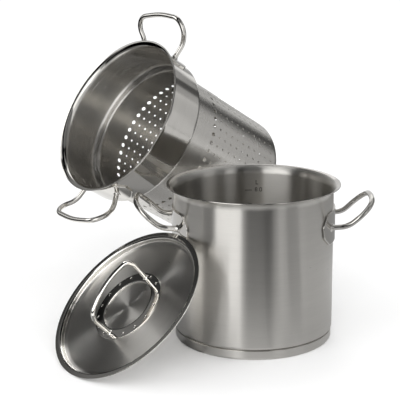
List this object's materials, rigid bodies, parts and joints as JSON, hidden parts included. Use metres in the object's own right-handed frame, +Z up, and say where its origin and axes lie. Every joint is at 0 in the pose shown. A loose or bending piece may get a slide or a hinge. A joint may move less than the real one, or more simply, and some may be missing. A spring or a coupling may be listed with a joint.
{
  "type": "pasta pot with strainer insert",
  "caption": "Tall steel stockpot with thick base, a deep perforated strainer insert leaning behind it and a lid leaning on its side, all with round-rod handles.",
  "frame": {"origin": "centre of the pot's flat base, on the surface that it stands on", "axes": "+Z up along the pot's axis; the pot's two handles lie along +X and -X; the front of the pot faces -Y"},
  "size_m": [0.4905, 0.6021, 0.4706],
  "materials": {
    "pot_steel": "fine brushed, rim polished",
    "capsule_steel": "fine brushed",
    "core_aluminium": "as rolled, hidden",
    "rod_steel": "satin polished rod",
    "plate_steel": "polished weld plates",
    "weld_steel": "polished weld fillets",
    "scale_mark": "etched marks",
    "insert_steel": "satin outside, polished rim",
    "lid_steel": "concentric brushed, flange polished",
    "ring_steel": "mirror polished"
  },
  "bodies": {
    "pot": {"pot_shell": "pot_steel", "base_core": "core_aluminium", "base_capsule": "capsule_steel", "pot_handle_right": "rod_steel", "pot_handle_left": "rod_steel", "pot_plate_right": "plate_steel", "pot_plate_left": "plate_steel", "pot_welds_right": "weld_steel", "pot_welds_left": "weld_steel", "pot_litre_scale": "scale_mark"},
    "insert": {"insert_shell": "insert_steel", "insert_basket": "insert_steel", "insert_floor": "insert_steel", "insert_handle_lower": "rod_steel", "insert_handle_upper": "rod_steel", "insert_plate_lower": "plate_steel", "insert_plate_upper": "plate_steel", "insert_welds_lower": "weld_steel", "insert_welds_upper": "weld_steel"},
    "lid": {"lid_shell": "lid_steel", "lid_ring": "ring_steel", "lid_handle": "rod_steel", "lid_welds": "weld_steel"}
  },
  "joints": [
    {"name": "insert_lift", "type": "slide", "parent": "pot", "child": "insert", "axis": [-0.6755, -0.5131, 0.5295], "range_m": [0, 0.25]},
    {"name": "lid_lift", "type": "slide", "parent": "pot", "child": "lid", "axis": [-0.7772, -0.5281, 0.3421], "range_m": [0, 0.15]}
  ]
}
